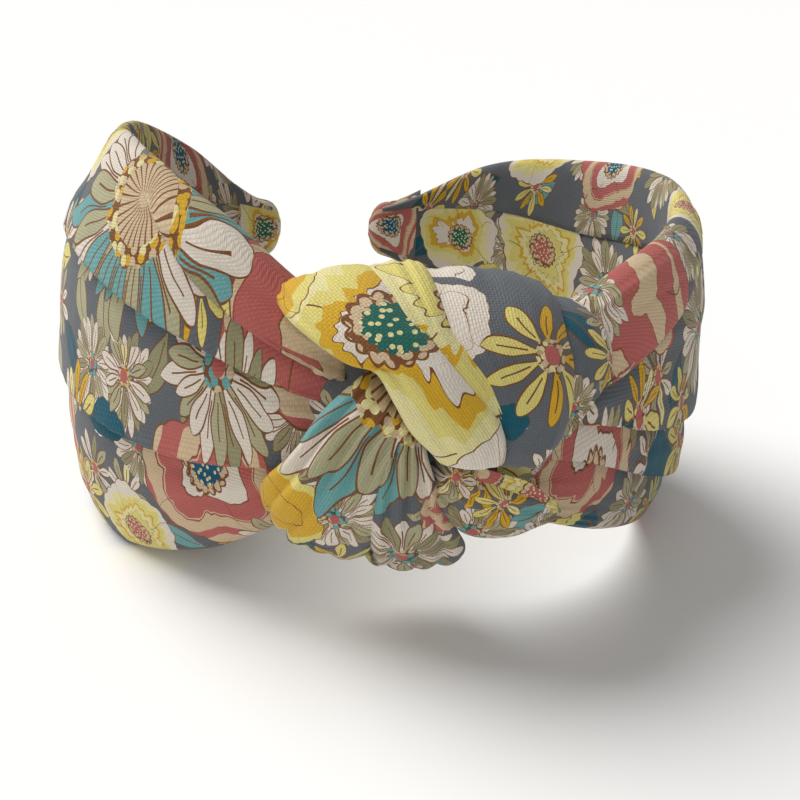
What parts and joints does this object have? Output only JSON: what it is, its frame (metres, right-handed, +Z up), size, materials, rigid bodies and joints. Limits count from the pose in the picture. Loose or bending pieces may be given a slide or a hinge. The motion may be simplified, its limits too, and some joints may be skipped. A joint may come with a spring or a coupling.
{
  "type": "knotted headband",
  "caption": "Wide padded headband in floral printed cotton, pleated towards a large tied knot at the front, on a springy plastic band.",
  "frame": {"origin": "under the middle of the headband, on the surface that it lies on", "axes": "+Z up from the surface that its side edge lies on, -Y towards the knot, +Y towards the gap between the tips, +X across the head"},
  "size_m": [0.1528, 0.1498, 0.0911],
  "materials": {
    "printed_cotton": "matt plain-weave cotton with an all-over floral print",
    "lining_cotton": "matt plain-weave cotton with the same print",
    "wadding": "soft white polyester wadding",
    "core_plastic": "moulded, matt"
  },
  "bodies": {
    "root": {"left_sleeve": "printed_cotton", "right_sleeve": "printed_cotton", "knot_front_wrap": "printed_cotton", "knot_side_wrap": "printed_cotton", "knot_rear_wrap": "printed_cotton", "knot_lower_fan": "printed_cotton", "knot_lower_roll": "printed_cotton", "knot_lower_tuck": "printed_cotton", "knot_throat": "printed_cotton", "left_tip_wrap": "printed_cotton", "right_tip_wrap": "printed_cotton", "inner_lining": "lining_cotton", "core_band": "core_plastic", "left_wadding": "wadding", "right_wadding": "wadding"}
  },
  "joints": []
}
